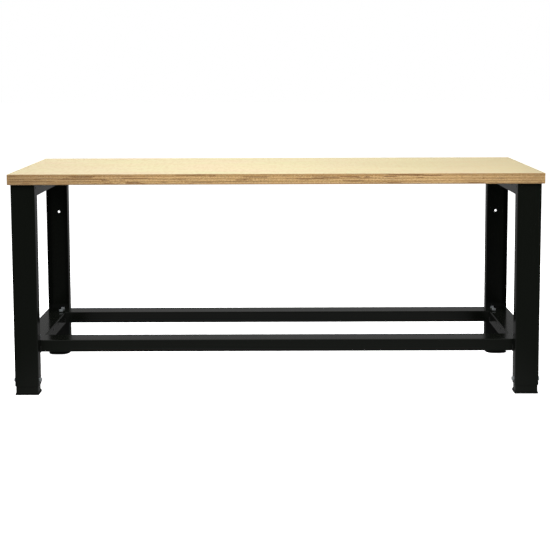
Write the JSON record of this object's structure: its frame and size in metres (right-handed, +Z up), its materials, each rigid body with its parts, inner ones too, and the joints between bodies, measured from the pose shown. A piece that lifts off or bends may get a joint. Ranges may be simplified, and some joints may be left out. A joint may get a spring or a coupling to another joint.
{
  "type": "workbench",
  "caption": "Workbench with a thick plywood top on folded steel channel legs, tied by two low stretchers, with telescopic levelling feet.",
  "frame": {"origin": "on the floor, under the middle of the worktop", "axes": "+X to the user's right along the worktop, +Y to the back, +Z up"},
  "size_m": [2, 0.7, 0.84],
  "materials": {
    "birch_plywood": "pale birch faces under a thin clear lacquer, plies bare at the edges",
    "black_powder_coat": "satin black powder coat with a fine orange peel",
    "bright_zinc": "bright zinc plate",
    "black_rubber": "matt moulded rubber"
  },
  "bodies": {
    "bench": {"worktop": "birch_plywood", "leg_front_left": "black_powder_coat", "leg_front_right": "black_powder_coat", "leg_rear_left": "black_powder_coat", "leg_rear_right": "black_powder_coat", "top_rail_left": "black_powder_coat", "top_rail_right": "black_powder_coat", "side_rail_left": "black_powder_coat", "side_rail_right": "black_powder_coat", "front_stretcher": "black_powder_coat", "rear_stretcher": "black_powder_coat", "clamp_bolts_front_left": "bright_zinc", "clamp_bolts_front_right": "bright_zinc", "clamp_bolts_rear_left": "bright_zinc", "clamp_bolts_rear_right": "bright_zinc", "clamp_nuts_front_left": "bright_zinc", "clamp_nuts_front_right": "bright_zinc", "clamp_nuts_rear_left": "bright_zinc", "clamp_nuts_rear_right": "bright_zinc", "clamp_washers_front_left": "bright_zinc", "clamp_washers_front_right": "bright_zinc", "clamp_washers_rear_left": "bright_zinc", "clamp_washers_rear_right": "bright_zinc", "lap_bolts_front_left": "bright_zinc", "lap_bolts_front_right": "bright_zinc", "lap_bolts_rear_left": "bright_zinc", "lap_bolts_rear_right": "bright_zinc", "lap_nuts_front_left": "bright_zinc", "lap_nuts_front_right": "bright_zinc", "lap_nuts_rear_left": "bright_zinc", "lap_nuts_rear_right": "bright_zinc", "lap_washers_front_left": "bright_zinc", "lap_washers_front_right": "bright_zinc", "lap_washers_rear_left": "bright_zinc", "lap_washers_rear_right": "bright_zinc", "worktop_screws_left": "bright_zinc", "worktop_screws_right": "bright_zinc"},
    "foot_front_left": {"foot_sleeve_front_left": "black_powder_coat", "foot_plate_front_left": "black_powder_coat", "foot_pad_front_left": "black_rubber"},
    "foot_front_right": {"foot_sleeve_front_right": "black_powder_coat", "foot_plate_front_right": "black_powder_coat", "foot_pad_front_right": "black_rubber"},
    "foot_rear_left": {"foot_sleeve_rear_left": "black_powder_coat", "foot_plate_rear_left": "black_powder_coat", "foot_pad_rear_left": "black_rubber"},
    "foot_rear_right": {"foot_sleeve_rear_right": "black_powder_coat", "foot_plate_rear_right": "black_powder_coat", "foot_pad_rear_right": "black_rubber"}
  },
  "joints": [
    {"name": "foot_front_left_slide", "type": "slide", "parent": "bench", "child": "foot_front_left", "axis": [0, 0, -1], "range_m": [-0.015, 0.05]},
    {"name": "foot_front_right_slide", "type": "slide", "parent": "bench", "child": "foot_front_right", "axis": [0, 0, -1], "range_m": [-0.015, 0.05]},
    {"name": "foot_rear_left_slide", "type": "slide", "parent": "bench", "child": "foot_rear_left", "axis": [0, 0, -1], "range_m": [-0.015, 0.05]},
    {"name": "foot_rear_right_slide", "type": "slide", "parent": "bench", "child": "foot_rear_right", "axis": [0, 0, -1], "range_m": [-0.015, 0.05]}
  ]
}
